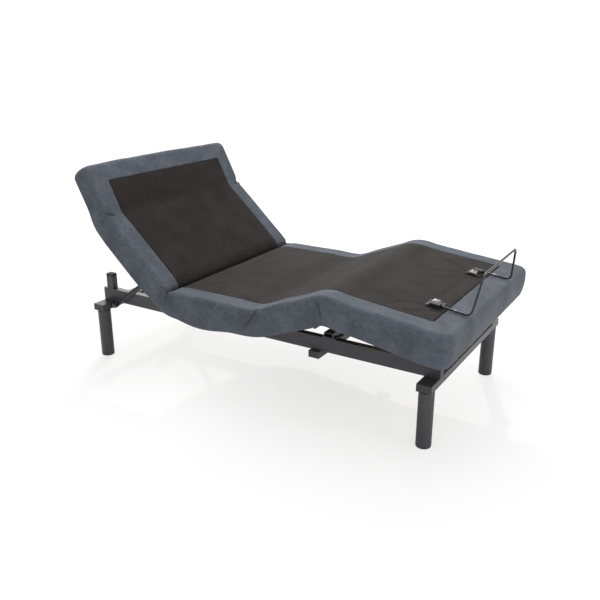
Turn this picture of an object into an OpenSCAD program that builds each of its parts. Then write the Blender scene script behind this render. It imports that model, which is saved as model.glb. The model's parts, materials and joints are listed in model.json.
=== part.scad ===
// Adjustable bed base: five hinged upholstered panels on a wall-hugging carriage.
// The carriage slides on a steel frame with four round legs. Millimetres, +Z up.
// Origin: floor level, below the middle of the whole object. +Y is the head end.
// All the panels are drawn where they stand with the head, pillow and knees raised.

/* [Panels] */
// Width of the upholstered platform
deck_w = 965; // [860:5:1100]
// Length of the pillow panel, from its hinge to the head end
pillow_len = 230; // [210:1:260]
// Length of the back panel, hinge to hinge
back_len = 452; // [430:1:480]
// Length of the seat panel, hinge to hinge
seat_len = 454; // [440:1:480]
// Length of the thigh panel, hinge to hinge
thigh_len = 324; // [300:1:350]
// Length of the foot panel, from its hinge to the foot end
foot_len = 505; // [480:1:540]
// Depth of the padded skirts, from the top surface down
skirt_depth = 118; // [105:1:125]
// The same depth on the pillow panel
pillow_depth = 98; // [90:1:125]
// Thickness of the foam on top of the boards
foam_t = 25; // [15:1:28]
// Thickness of the plywood boards
board_t = 18; // [15:1:20]
// Thickness of the padded side skirts
skirt_t = 25; // [20:1:30]

/* [Pose] */
// Slope of the back panel above level
back_angle = 42.7; // [0:0.1:60]
// Slope of the pillow panel against the back panel
pillow_angle = 20; // [0:0.1:45]
// Slope of the thigh panel above level
thigh_angle = 20.6; // [0:0.1:34]

/* [Frame] */
// Height of the panel hinges above the floor
hinge_z = 401; // [398:1:404]
// Height of the legs with their studs
leg_h = 235; // [225:1:235]
// Diameter of the round legs
leg_d = 60; // [50:1:64]
// Half the distance between the legs, side to side
leg_x = 371; // [368:1:380]
// Half the width over the side rails
rail_out_x = 328; // [320:1:328]
// Width and height of the side rails
rail_w = 30; // [25:1:32]
rail_h = 60; // [55:1:60]
// Wall thickness of the tubes
tube_wall = 2.5; // [2:0.5:4]

/* [Retainer bar] */
// Diameter of the mattress retainer's rod
rod_d = 9; // [7:0.5:11]
// Height of the retainer above the foot panel's surface
retainer_h = 155; // [120:5:180]
// Half the width of the retainer at the bottom
retainer_x_low = 251; // [230:1:260]
// Half the width of the retainer at the top
retainer_x_top = 200; // [140:1:210]
// How far the bar and its brackets sit to the right of the middle
retainer_offset = -16; // [-30:1:30]

/* [Hidden] */
$fn = 48;

slate = [0.34, 0.37, 0.40];
dark_felt = [0.23, 0.21, 0.20];
black_steel = [0.09, 0.09, 0.10];
bare_steel = [0.62, 0.63, 0.65];
black_plastic = [0.06, 0.06, 0.06];
birch = [0.72, 0.58, 0.40];

// Hinge lines in the Y-Z plane
hip_y = 366;
seat_front_y = hip_y - seat_len;
foot_slope = 27.1 / 20.6 * thigh_angle - thigh_angle;
pillow_slope = back_angle + pillow_angle;
pillow_hinge = [hip_y + back_len * cos(back_angle), hinge_z + back_len * sin(back_angle)];
knee = [seat_front_y - thigh_len * cos(thigh_angle), hinge_z + thigh_len * sin(thigh_angle)];

// Largest folds, which the bevelled ends of boards, pads and skirts leave room for
hip_fold = 61;
pillow_fold = 46;
thigh_fold = 35.5;
knee_fold = 47;
top_h = board_t + foam_t;
skirt_x = deck_w / 2;
board_x = skirt_x - skirt_t - 1;
board_gap = 12;
edge_gap = 1;

// Frame
rail_z = 265;
rail_top = rail_z + rail_h;
rail_head_y = 888;
rail_foot_y = -814;
rail_x = rail_out_x - rail_w;
leg_head_y = 858;
leg_foot_y = -784;
end_cross = [2 * (leg_x + leg_d / 2), 60, 30];
mid_cross = [690, 48, 28];
mid_cross_y = -290;
glide_h = 6;
stud_d = 10;
post_w = 30;
post_depth = 38;
post_y = 849;
bumper_h = 12;
cap_t = 3;

// Carriage
beam_x = 230;
beam_w = 30;
beam_top = hinge_z - 3;
beam_h = 46;
cross_tube = [2 * rail_out_x + 14, 40, 20];
cross_z = beam_top - beam_h - cross_tube[2];
foot_cross_y = -349;
head_cross_y = 240;
motor_cross_y = -185;
slider_h = cross_z - rail_top;
link_lug_y = -395;
link_lug_z = 341;

// Hinges: three or four a line, each with one moving knuckle between two fixed ones
hinge_w = 80;
knuckle_r = 6;
hinge_pin_r = 3.5;
hinge_xs = [-400, -170, 170, 400];
leaf_t = 3;
leaf_len = 45;

// Actuators: each pushes a pin in the radial slot of a lever below its hinge line
lever_drop = 110;
pillow_drop = 72;
actuator_x = 120;
actuator_z = hinge_z - lever_drop;
head_lever_lean = back_angle - 30;
thigh_lever_lean = thigh_angle - 17.3;
pillow_lever_lean = pillow_angle - 22.5;
actuator_r = 20;
motor_r = 27;
drive_pin_r = 6;
lever_foot = [actuator_x - 38, actuator_x + 9];
lever_foot_t = 4;
pillow_tube_r = 17;
motor_gap = 0.5;

// Struts that pull the carriage towards the wall
strut_base = [812, 250];
strut_len = 403;
strut_rise = 35.7;
strut_x = 332;
strut_w = 12;
strut_h = 26;
slot_middle = [151.5, -26];
slot_half = 14;
slot_slope = 154.5;
slot_r = 9;

// Links below the foot panel
link_len = 222;
link_rise = 29.2;
link_x = 212;
link_w = 6;
link_drop = 43.5;
link_at = 204;

module on_back() { translate([0, hip_y, hinge_z]) rotate([back_angle, 0, 0]) children(); }
module on_pillow() {
  translate([0, pillow_hinge[0], pillow_hinge[1]]) rotate([pillow_slope, 0, 0]) children();
}
module on_thigh() {
  translate([0, seat_front_y, hinge_z]) rotate([-thigh_angle, 0, 0]) children();
}
module on_foot() { translate([0, knee[0], knee[1]]) rotate([foot_slope, 0, 0]) children(); }

// A cylinder along X, between two X positions, in the Y-Z plane at p
module bar_x(r, x0, x1, p = [0, 0]) {
  translate([x0, p[0], p[1]]) rotate([0, 90, 0]) cylinder(r = r, h = x1 - x0);
}
// A cylinder along Y, between two Y positions, at X and Z
module bar_y(r, y0, y1, x, z) {
  translate([x, y1, z]) rotate([90, 0, 0]) cylinder(r = r, h = y1 - y0);
}
// A side profile in the Y-Z plane, extruded along X from x0 to x1
module plate_x(x0, x1) {
  translate([x0, 0, 0]) rotate([90, 0, 90]) linear_extrude(x1 - x0) children();
}
// A rectangular tube along Y
module tube_y(w, h, y0, y1) {
  difference() {
    translate([-w / 2, y0, -h / 2]) cube([w, y1 - y0, h]);
    translate([-w / 2 + tube_wall, y0 - 1, -h / 2 + tube_wall])
      cube([w - 2 * tube_wall, y1 - y0 + 2, h - 2 * tube_wall]);
  }
}
// A rectangular tube along X, centred
module tube_x(size) {
  difference() {
    cube(size, center = true);
    cube([size[0] + 2, size[1] - 2 * tube_wall, size[2] - 2 * tube_wall], center = true);
  }
}
// Both sides of something that is drawn on the right
module both_sides() {
  children();
  mirror([1, 0, 0]) children();
}

// Side profile of the layer between heights z0 and z1 above the hinge line. y0 and y1 are
// the ends. b0 and b1 are the fold angles that the ends leave room for: above the hinges
// where they are positive, below them where they are negative, and square where zero.
function end_y(y, z, fold) =
  fold > 0 && z > 0 ? z * tan(fold / 2)
  : fold < 0 && z < 0 ? -z * tan(-fold / 2)
  : 0;
module layer(y0, y1, z0, z1, b0, b1) {
  zs = z0 < 0 && z1 > 0 ? [z0, 0, z1] : [z0, z1];
  low = [for (z = zs) [y0 + end_y(y0, z, b0), z]];
  high = [for (i = [len(zs) - 1:-1:0]) [y1 - end_y(y1, zs[i], b1), zs[i]]];
  polygon(concat(low, high));
}

// Plywood board with its ends short of the hinge lines
module board(y0, y1, gap0, gap1) {
  translate([-board_x, y0 + gap0, 0]) cube([2 * board_x, y1 - y0 - gap0 - gap1, board_t]);
}
// Foam on the board
module pad(y0, y1, b0, b1) {
  plate_x(-board_x - 0.5, board_x + 0.5)
    layer(y0 + edge_gap, y1 - edge_gap, board_t + 0.3, top_h, b0, b1);
}
// The two padded side skirts
module skirts(y0, y1, b0, b1, depth = skirt_depth) {
  both_sides()
    plate_x(skirt_x - skirt_t, skirt_x)
      layer(y0 + edge_gap, y1 - edge_gap, top_h - depth, top_h, b0, b1);
}
// Padded skirt across an open end, between the side skirts
module end_skirt(y0, depth = skirt_depth) {
  translate([-skirt_x + skirt_t + 0.3, y0, top_h - depth])
    cube([2 * (skirt_x - skirt_t - 0.3), skirt_t, depth]);
}

// Knuckles along a hinge line. fixed is true for the outer pair of each hinge.
module knuckle(x, fixed) {
  if (fixed) {
    knuckle_tube(x - hinge_w / 2, x - 14.5);
    knuckle_tube(x + 14.5, x + hinge_w / 2);
  } else {
    knuckle_tube(x - 13.5, x + 13.5);
  }
}
module knuckle_tube(x0, x1) {
  difference() {
    bar_x(knuckle_r, x0, x1);
    bar_x(hinge_pin_r + 0.05, x0 - 1, x1 + 1);
  }
}
// Leaf screwed below a board. dir is +1 where the board lies on the +Y side.
module leaf(x, dir, fixed) {
  knuckle(x, fixed);
  y_far = dir * leaf_len;
  y_near = dir * (knuckle_r + 1);
  translate([x - hinge_w / 2, min(y_far, y_near), -leaf_t])
    cube([hinge_w, abs(y_far - y_near), leaf_t]);
  tabs = fixed ? [[-hinge_w / 2, -14.5], [14.5, hinge_w / 2]] : [[-13.5, 13.5]];
  for (t = tabs)
    translate([x + t[0], min(dir * (knuckle_r - 1.2), y_near), -leaf_t])
      cube([t[1] - t[0], 2.2, leaf_t]);
}
module leaf_row(dir, fixed) {
  for (x = hinge_xs) leaf(x, dir, fixed);
}
module pin_row() {
  for (x = hinge_xs) bar_x(hinge_pin_r, x - hinge_w / 2 - 2, x + hinge_w / 2 + 2);
}

// Half a circle of radius r round c, bulging towards angle a
function half_ring(c, a, r) = [for (i = [0:12]) c + r * [cos(a - 90 + 15 * i), sin(a - 90 + 15 * i)]];
// Lever plate with a radial slot. lean is its slope from straight down, towards +Y.
module slotted_lever(drop, lean, reach, foot_y0, foot_y1, slot_w) {
  tip = [drop * tan(lean), -drop];
  dir = tip / norm(tip);
  a = atan2(dir[1], dir[0]);
  side = [-dir[1], dir[0]];
  far = dir * (norm(tip) + reach);
  near = tip - dir * (norm(tip) - drop + 8);
  half_w = slot_w / 2 + 9;
  root_z = -leaf_t - 1;
  difference() {
    polygon(concat(half_ring(far, a, half_w),
      [dir * 30 + side * half_w, [foot_y1, root_z], [foot_y0, root_z], dir * 30 - side * half_w]));
    polygon(concat(half_ring(far, a, slot_w / 2), half_ring(near, a + 180, slot_w / 2)));
  }
}

// ---- Steel frame ----
module side_rail() {
  groove_y = mid_cross_y - 24;
  difference() {
    translate([rail_out_x - rail_w / 2, 0, rail_z + rail_h / 2])
      tube_y(rail_w, rail_h, rail_foot_y, rail_head_y);
    translate([rail_out_x - 1, groove_y, rail_z + 17]) cube([2, rail_head_y - groove_y - 40, 3]);
  }
}
module side_rail_left() { color(black_steel) mirror([1, 0, 0]) side_rail(); }
module side_rail_right() { color(black_steel) side_rail(); }
module end_crossmembers() {
  color(black_steel)
    for (y = [leg_head_y, leg_foot_y])
      translate([0, y, rail_z - end_cross[2] / 2]) tube_x(end_cross);
}
module mid_crossmember() {
  color(black_steel)
    translate([0, mid_cross_y, rail_z - mid_cross[2] / 2]) tube_x(mid_cross);
}
module at_legs() {
  for (x = [-leg_x, leg_x], y = [leg_foot_y, leg_head_y]) translate([x, y, 0]) children();
}
leg_top = leg_h - 5;
module legs() {
  color(black_steel)
    at_legs()
      difference() {
        translate([0, 0, glide_h]) cylinder(d = leg_d, h = leg_top - glide_h);
        translate([0, 0, leg_top - 40]) cylinder(d = stud_d + 0.1, h = 41);
      }
}
module leg_glides() {
  color(black_plastic)
    at_legs() {
      cylinder(d1 = leg_d - 8, d2 = leg_d - 2, h = 2);
      translate([0, 0, 2]) cylinder(d = leg_d - 2, h = glide_h - 2);
    }
}
module leg_studs() {
  color(bare_steel)
    at_legs() {
      translate([0, 0, leg_top - 38]) cylinder(d = stud_d, h = 38);
      translate([0, 0, leg_top]) cylinder(d = 26, h = leg_h - leg_top);
    }
}
module tube_end_caps() {
  color(black_plastic) {
    for (x = [-1, 1], y = [rail_foot_y - cap_t, rail_head_y])
      translate([x * (rail_out_x - rail_w / 2) - rail_w / 2, y, rail_z])
        cube([rail_w, cap_t, rail_h]);
    for (x = [-1, 1], y = [leg_head_y, leg_foot_y])
      translate([x * (end_cross[0] + cap_t) / 2, y, rail_z - end_cross[2] / 2])
        cube([cap_t, end_cross[1], end_cross[2]], center = true);
    for (x = [-1, 1])
      translate([x * (mid_cross[0] + cap_t) / 2, mid_cross_y, rail_z - mid_cross[2] / 2])
        cube([cap_t, mid_cross[1], mid_cross[2]], center = true);
  }
}
post_h = beam_top - rail_top - bumper_h;
module head_posts() {
  color(black_steel)
    for (x = [-1, 1])
      translate([x * (rail_out_x - rail_w / 2), post_y, rail_top + post_h / 2])
        rotate([0, 90, 0])
          tube_x([post_h, post_depth, post_w]);
}
module post_bumpers() {
  color(black_plastic)
    for (x = [-1, 1])
      translate([x * (rail_out_x - rail_w / 2), post_y, rail_top + post_h + bumper_h / 2])
        cube([post_w, post_depth, bumper_h], center = true);
}
lug_y = leg_head_y - end_cross[1] / 2;
module strut_lugs() {
  color(black_steel)
    both_sides()
      for (x = [strut_x - 5.5, strut_x + strut_w + 1.5])
        plate_x(x, x + 4)
          difference() {
            union() {
              translate(strut_base) circle(12);
              translate([strut_base[0], strut_base[1] - 12]) square([lug_y - strut_base[0], 24]);
            }
            translate(strut_base) circle(5.05);
          }
}
module strut_pins() {
  color(bare_steel)
    both_sides() {
      bar_x(5, strut_x - 7, strut_x + strut_w + 7, strut_base);
      bar_x(9, strut_x + strut_w + 5.6, strut_x + strut_w + 10, strut_base);
    }
}
module bolt_head(y, z) {
  translate([rail_out_x - rail_w / 2, y, z - 5]) cylinder(r = 6.5, h = 5, $fn = 6);
}
module frame_bolts() {
  color(bare_steel)
    both_sides() {
      for (y = [leg_head_y - 14, leg_head_y + 14, leg_foot_y - 14, leg_foot_y + 14])
        bolt_head(y, rail_z - end_cross[2]);
      bolt_head(mid_cross_y, rail_z - mid_cross[2]);
    }
}

// ---- Sliding carriage ----
module carriage_beams() {
  color(black_steel)
    both_sides()
      translate([beam_x + beam_w / 2, 0, beam_top - beam_h / 2])
        tube_y(beam_w, beam_h, link_lug_y - 20, hip_y - 20);
}
module carriage_cross_tubes() {
  color(black_steel) {
    for (y = [foot_cross_y, head_cross_y])
      translate([0, y, cross_z + cross_tube[2] / 2]) tube_x(cross_tube);
    translate([0, motor_cross_y, cross_z + cross_tube[2] / 2])
      tube_x([2 * (beam_x + beam_w), cross_tube[1], cross_tube[2]]);
  }
}
module nylon_sliders() {
  color(black_plastic)
    both_sides()
      for (y = [foot_cross_y, head_cross_y])
        translate([rail_x - 6, y - 30, 0])
          difference() {
            translate([0, 0, rail_top - 18]) cube([rail_w + 6, 60, 18 + slider_h]);
            translate([5.5, -1, rail_top - 19]) cube([rail_w + 2, 62, 19.2]);
          }
}
module seat_strips() {
  color(black_plastic)
    both_sides()
      translate([beam_x, seat_front_y + 20, beam_top])
        cube([beam_w, seat_len - 45, hinge_z - beam_top]);
}
module seat_hinge_leaves() {
  color(bare_steel) {
    translate([0, hip_y, hinge_z]) leaf_row(-1, true);
    translate([0, seat_front_y, hinge_z]) leaf_row(1, true);
  }
}
module seat_hinge_pins() {
  color(bare_steel)
    for (y = [hip_y, seat_front_y]) translate([0, y, hinge_z]) pin_row();
}
module link_lugs() {
  color(black_steel)
    both_sides() {
      plate_x(beam_x - 5, beam_x) {
        translate([link_lug_y, link_lug_z]) circle(12);
        translate([link_lug_y - 12, link_lug_z]) square([24, 40]);
      }
      bar_x(5, link_x - 4, beam_x - 4, [link_lug_y, link_lug_z]);
    }
}

// Linear actuator along +Y: rear lug, gear housing and open outer tube
module actuator(length, tube_r, bore_r, bore_depth) {
  difference() {
    union() {
      bar_y(tube_r, 20, length, 0, 0);
      translate([-tube_r - 4, 10, -tube_r - 4]) cube([2 * tube_r + 8, 90, 2 * tube_r + 8]);
      bar_y(10, 0, 12, 0, 0);
    }
    bar_y(bore_r, length - bore_depth, length + 1, 0, 0);
  }
}
module motor(x, y, z, len) {
  bar_y(motor_r, y, y + len, x, z);
  bar_y(motor_r - 5, y - 4, y, x, z);
}
head_pin_y = hip_y + lever_drop * tan(head_lever_lean);
foot_pin_y = seat_front_y - lever_drop * tan(thigh_lever_lean);
head_body_end = hip_y - lever_drop * tan(30) - 58;
foot_body_end = seat_front_y + lever_drop * tan(17.3) + 58;
head_rear_y = motor_cross_y + 14;
motor_offset = actuator_r + 4 + motor_r + motor_gap;
motor_len = 120;
foot_rear_y = head_cross_y - 14;
module head_actuator() {
  color(black_plastic)
    translate([-actuator_x, head_rear_y, actuator_z])
      actuator(head_body_end - head_rear_y, actuator_r, 12.5, 150);
}
module foot_actuator() {
  color(black_plastic)
    translate([actuator_x, foot_rear_y, actuator_z])
      mirror([0, 1, 0]) actuator(foot_rear_y - foot_body_end, actuator_r, 12.5, 75);
}
module lift_motors() {
  color(black_plastic) {
    motor(-actuator_x + motor_offset, head_rear_y + 16, actuator_z, motor_len);
    motor(actuator_x - motor_offset, foot_rear_y - 16 - motor_len, actuator_z, motor_len);
  }
}
// Bracket plates that hang from the cross tubes and hold the actuators' rear ends
module actuator_brackets() {
  color(black_steel) {
    for (p = [[-actuator_x, motor_cross_y, 1], [actuator_x, head_cross_y, -1]])
      translate([p[0] - 30, p[1] + p[2] * 8 - 5, actuator_z - 20])
        cube([60, 10, cross_z - actuator_z + 20]);
  }
}
// Control box below the seat, with the recess of its mains inlet
module control_box() {
  color(black_plastic)
    difference() {
      translate([-70, 20, beam_top - 42]) cube([140, 110, 40]);
      translate([-14, 130 - 18, beam_top - 34]) cube([28, 19, 20]);
    }
}
// Thin cable swept along points, as a tube with eight sides
function unit(v) = v / norm(v);
function tangent(p, i) =
  unit(p[min(i + 1, len(p) - 1)] - p[max(i - 1, 0)]);
function side_of(t) = unit(cross(t, abs(t[2]) > 0.9 ? [0, 1, 0] : [0, 0, 1]));
function carried(p, i) =
  i == 0 ? side_of(tangent(p, 0))
  : let (s = carried(p, i - 1), t = tangent(p, i)) unit(s - t * (s * t));
module swept_tube(p, r, n) {
  rings = [for (i = [0:len(p) - 1])
    let (t = tangent(p, i), s = carried(p, i), u = cross(t, s))
      for (k = [0:n - 1]) p[i] + r * (cos(360 * k / n) * s + sin(360 * k / n) * u)];
  last = (len(p) - 1) * n;
  walls = [for (i = [0:len(p) - 2], k = [0:n - 1])
    [i * n + k, i * n + (k + 1) % n, (i + 1) * n + (k + 1) % n, (i + 1) * n + k]];
  ends = [[for (k = [n - 1:-1:0]) k], [for (k = [0:n - 1]) last + k]];
  polyhedron(points = rings, faces = [for (f = concat(walls, ends)) [for (v = [len(f) - 1:-1:0]) f[v]]]);
}
// Points of a path whose corners are rounded with arcs of n steps
function corner(a, b, c, r, n) =
  let (u = unit(a - b), v = unit(c - b), half = acos(u * v) / 2, d = r / tan(half),
    m = b + unit(u + v) * r / sin(half), p = b + u * d - m, q = b + v * d - m,
    turn = 180 - 2 * half, w = unit(q - p * cos(turn)) * r)
    [for (i = [0:n]) m + p * cos(turn * i / n) + w * sin(turn * i / n)];
function rounded(p, r, n) = concat([p[0]],
  [for (i = [1:len(p) - 2]) each corner(p[i - 1], p[i], p[i + 1], r, n)], [p[len(p) - 1]]);
module motor_cables() {
  cable_z = beam_top - 22;
  cable_foot_z = actuator_z + motor_r + 0.5;
  head_x = -actuator_x + 24 + motor_r;
  foot_x = actuator_x - 24 - motor_r;
  color(black_plastic) {
    swept_tube(rounded([[head_x, head_rear_y + 90, cable_foot_z],
      [head_x, head_rear_y + 90, cable_z], [head_x + 10, 18.5, cable_z]], 14, 6), 3, 8);
    swept_tube(rounded([[foot_x, foot_rear_y - 60, cable_foot_z],
      [foot_x, foot_rear_y - 60, cable_z], [foot_x - 5, 131.5, cable_z]], 14, 6), 3, 8);
  }
}

// ---- Seat panel, fixed on the carriage ----
module seat_board() {
  color(birch) translate([0, 0, hinge_z]) board(seat_front_y, hip_y, board_gap, board_gap);
}
module seat_pad() {
  color(dark_felt)
    translate([0, 0, hinge_z]) pad(seat_front_y, hip_y, thigh_fold, hip_fold);
}
module seat_skirts() {
  color(slate)
    translate([0, 0, hinge_z]) skirts(seat_front_y, hip_y, thigh_fold, hip_fold);
}

// ---- Back panel ----
module back_board() { color(birch) on_back() board(0, back_len, board_gap, board_gap); }
module back_pad() { color(dark_felt) on_back() pad(0, back_len, hip_fold, pillow_fold); }
module back_skirts() { color(slate) on_back() skirts(0, back_len, hip_fold, pillow_fold); }
module back_hinge_leaves() {
  color(bare_steel)
    on_back() {
      leaf_row(1, false);
      translate([0, back_len, 0]) leaf_row(-1, true);
    }
}
module pillow_hinge_pins() { color(bare_steel) on_back() translate([0, back_len, 0]) pin_row(); }
module back_lever() {
  color(black_steel)
    on_back() {
      plate_x(-actuator_x - 4, -actuator_x + 4)
        slotted_lever(lever_drop, -30, 22, 14, 90, 19);
      translate([-lever_foot[1], 14, -lever_foot_t])
        cube([lever_foot[1] - lever_foot[0], 76, lever_foot_t]);
    }
}
// Lugs below the back board. The pin at each strut's upper end has play in their slots.
module strut_slots() {
  color(black_steel)
    on_back()
      both_sides()
        for (x = [strut_x - 5.5, strut_x + strut_w + 1.5])
          plate_x(x, x + 4)
            difference() {
              translate([slot_middle[0] - 32, slot_middle[1] - 22]) square([64, 22 - slot_middle[1]]);
              translate(slot_middle) rotate(slot_slope) {
                for (s = [-slot_half, slot_half]) translate([s, 0]) circle(slot_r);
                translate([-slot_half, -slot_r]) square([2 * slot_half, 2 * slot_r]);
              }
            }
}
pillow_pin_y = back_len + pillow_drop * tan(pillow_lever_lean);
pillow_body_end = back_len - pillow_drop * tan(22.5) - 58;
pillow_rear_y = 120;
module pillow_actuator() {
  color(black_plastic)
    on_back() {
      translate([0, pillow_rear_y, -pillow_drop])
        actuator(pillow_body_end - pillow_rear_y, pillow_tube_r, 10.5, 75);
      translate([-20, pillow_rear_y + 20, pillow_tube_r + 4 - pillow_drop - 0.5])
        cube([40, 40, pillow_drop - pillow_tube_r - 4]);
    }
}
module pillow_motor() {
  color(black_plastic)
    on_back()
      motor(pillow_tube_r + 4 + motor_r + motor_gap, pillow_rear_y + 12, 8 - pillow_drop, 90);
}

// ---- Pillow panel ----
module pillow_board() { color(birch) on_pillow() board(0, pillow_len, board_gap, skirt_t + 1); }
module pillow_pad() {
  color(dark_felt) on_pillow() pad(0, pillow_len - skirt_t, pillow_fold, 0);
}
module pillow_skirts() {
  color(slate)
    on_pillow() {
      skirts(0, pillow_len, pillow_fold, 0, pillow_depth);
      end_skirt(pillow_len - skirt_t - 1, pillow_depth);
    }
}
module pillow_hinge_leaves() { color(bare_steel) on_pillow() leaf_row(1, false); }
module pillow_lever() {
  color(black_steel)
    on_pillow() {
      plate_x(-3, 3) slotted_lever(pillow_drop, -22.5, 15, 14, 70, 14);
      translate([-25, 14, -lever_foot_t]) cube([50, 56, lever_foot_t]);
    }
}

// ---- Thigh panel ----
module thigh_board() { color(birch) on_thigh() board(-thigh_len, 0, board_gap, board_gap); }
module thigh_pad() { color(dark_felt) on_thigh() pad(-thigh_len, 0, 0, thigh_fold); }
module thigh_skirts() {
  color(slate) on_thigh() skirts(-thigh_len, 0, -knee_fold, thigh_fold);
}
module thigh_hinge_leaves() {
  color(bare_steel)
    on_thigh() {
      leaf_row(-1, false);
      translate([0, -thigh_len, 0]) leaf_row(1, true);
    }
}
module knee_hinge_pins() {
  color(bare_steel) on_thigh() translate([0, -thigh_len, 0]) pin_row();
}
module thigh_lever() {
  color(black_steel)
    on_thigh() {
      plate_x(actuator_x - 4, actuator_x + 4)
        mirror([1, 0]) slotted_lever(lever_drop, -17.3, 14, 14, 90, 16);
      translate([lever_foot[0], -90, -lever_foot_t])
        cube([lever_foot[1] - lever_foot[0], 76, lever_foot_t]);
    }
}

// ---- Foot panel ----
module foot_board() { color(birch) on_foot() board(-foot_len, 0, skirt_t + 1, board_gap); }
module foot_pad() { color(dark_felt) on_foot() pad(-foot_len + skirt_t, 0, 0, 0); }
module foot_skirts() {
  color(slate)
    on_foot() {
      skirts(-foot_len, 0, 0, -knee_fold);
      end_skirt(-foot_len + 1);
    }
}
// Hinge leaves and link lugs below the foot board
module foot_fittings() {
  color(bare_steel) on_foot() leaf_row(-1, false);
  color(black_steel)
    on_foot()
      both_sides() {
        plate_x(link_x - 8, link_x - 3)
          union() {
            translate([-link_at, -link_drop]) circle(12);
            translate([-link_at - 12, -link_drop]) square([24, link_drop]);
          }
        bar_x(5, link_x - 4, link_x + link_w + 4, [-link_at, -link_drop]);
      }
}
// Bent rod that keeps the mattress from sliding off the foot end
bracket_y = -354;
bracket_in = 25;
rod_in = 8;
rod_lift = top_h + 9.5;
retainer_y = -foot_len + 6;
module retainer_bar() {
  half = [[retainer_x_low - rod_in, bracket_y + 9, rod_lift],
    [retainer_x_low, retainer_y, rod_lift - 3],
    [retainer_x_top, retainer_y + 3, top_h + retainer_h]];
  path = concat(half, [for (i = [2:-1:0]) [-half[i][0], half[i][1], half[i][2]]]);
  color(black_steel)
    on_foot() translate([retainer_offset, 0, 0]) swept_tube(rounded(path, 24, 7), rod_d / 2, 12);
}
// Plates screwed through the pad, each with a clamp block round the end of the bar
module retainer_brackets() {
  color(black_steel)
    on_foot()
      translate([retainer_offset, 0, 0])
        both_sides()
          translate([retainer_x_low - bracket_in, bracket_y, top_h]) {
            translate([-33, -31, 1]) cube([66, 62, 3]);
            for (x = [-24, 24]) translate([x, 22, 4]) cylinder(r = 6, h = 2.5);
            difference() {
              translate([5, -26, 4]) cube([27, 40, 11.5]);
              hull() {
                bar_y(rod_d / 2 + 0.6, -30, 10, bracket_in - rod_in, 9.5);
                bar_y(rod_d / 2 + 0.6, -30, 10, bracket_in - rod_in + 2.1, 8.8);
              }
            }
          }
}

// ---- Moving links ----
module wall_struts() {
  color(black_steel)
    both_sides() {
      translate([strut_x, strut_base[0], strut_base[1]]) rotate([-strut_rise, 0, 0])
        difference() {
          union() {
            translate([0, -strut_len, -strut_h / 2 + 2]) cube([strut_w, strut_len, strut_h - 4]);
            bar_x(12, 0, strut_w);
            bar_x(12, 0, strut_w, [-strut_len, 0]);
          }
          bar_x(5.05, -1, strut_w + 1);
          translate([3, -strut_len + 16, -strut_h / 2 + 5])
            cube([strut_w, strut_len - 32, strut_h - 10]);
        }
      translate([strut_x, strut_base[0], strut_base[1]]) rotate([-strut_rise, 0, 0])
        bar_x(5, -6, strut_w + 6, [-strut_len, 0]);
    }
}
module foot_links() {
  color(black_steel)
    both_sides()
      translate([link_x, link_lug_y, link_lug_z]) rotate([-link_rise, 0, 0])
        plate_x(0, link_w)
          difference() {
            union() {
              circle(12);
              translate([-link_len, 0]) circle(14);
              translate([-link_len, -10]) square([link_len, 20]);
            }
            circle(5.05);
            translate([-link_len, 0]) circle(8);
          }
}
// Pushrod with a fork and drive pin. dir is the Y direction in which it pushes.
module pushrod(x, y_pin, z, dir, rod_r, plate_half, tail) {
  cheek = 7;
  y_in = y_pin - dir * 50;
  bar_y(rod_r, min(y_in, y_in - dir * tail), max(y_in, y_in - dir * tail), x, z);
  y_block = y_pin - dir * 44;
  translate([x - plate_half - 1 - cheek, y_block - 8, z - 11])
    cube([2 * (plate_half + 1 + cheek), 16, 22]);
  for (s = [-1, 1])
    translate([x + s * (plate_half + 1 + cheek / 2), y_pin - dir * 16, z])
      cube([cheek, 56, 22], center = true);
  bar_x(drive_pin_r, x - plate_half - cheek - 3, x + plate_half + cheek + 3, [y_pin, z]);
}
module head_rod() {
  color(bare_steel) pushrod(-actuator_x, head_pin_y, actuator_z, 1, 12, 4, 150);
}
module foot_rod() {
  color(bare_steel) pushrod(actuator_x, foot_pin_y, actuator_z, -1, 12, 4, 75);
}
module pillow_rod() {
  color(bare_steel) on_back() pushrod(0, pillow_pin_y, -pillow_drop, 1, 10, 3, 75);
}

side_rail_left();
side_rail_right();
end_crossmembers();
mid_crossmember();
legs();
leg_glides();
leg_studs();
tube_end_caps();
head_posts();
post_bumpers();
strut_lugs();
strut_pins();
frame_bolts();
carriage_beams();
carriage_cross_tubes();
nylon_sliders();
seat_strips();
seat_hinge_leaves();
seat_hinge_pins();
link_lugs();
head_actuator();
foot_actuator();
lift_motors();
actuator_brackets();
control_box();
motor_cables();
seat_board();
seat_pad();
seat_skirts();
back_board();
back_pad();
back_skirts();
back_hinge_leaves();
pillow_hinge_pins();
back_lever();
strut_slots();
pillow_actuator();
pillow_motor();
pillow_board();
pillow_pad();
pillow_skirts();
pillow_hinge_leaves();
pillow_lever();
thigh_board();
thigh_pad();
thigh_skirts();
thigh_hinge_leaves();
knee_hinge_pins();
thigh_lever();
foot_board();
foot_pad();
foot_skirts();
foot_fittings();
retainer_bar();
retainer_brackets();
wall_struts();
foot_links();
head_rod();
foot_rod();
pillow_rod();
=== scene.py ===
import json
import math

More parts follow.
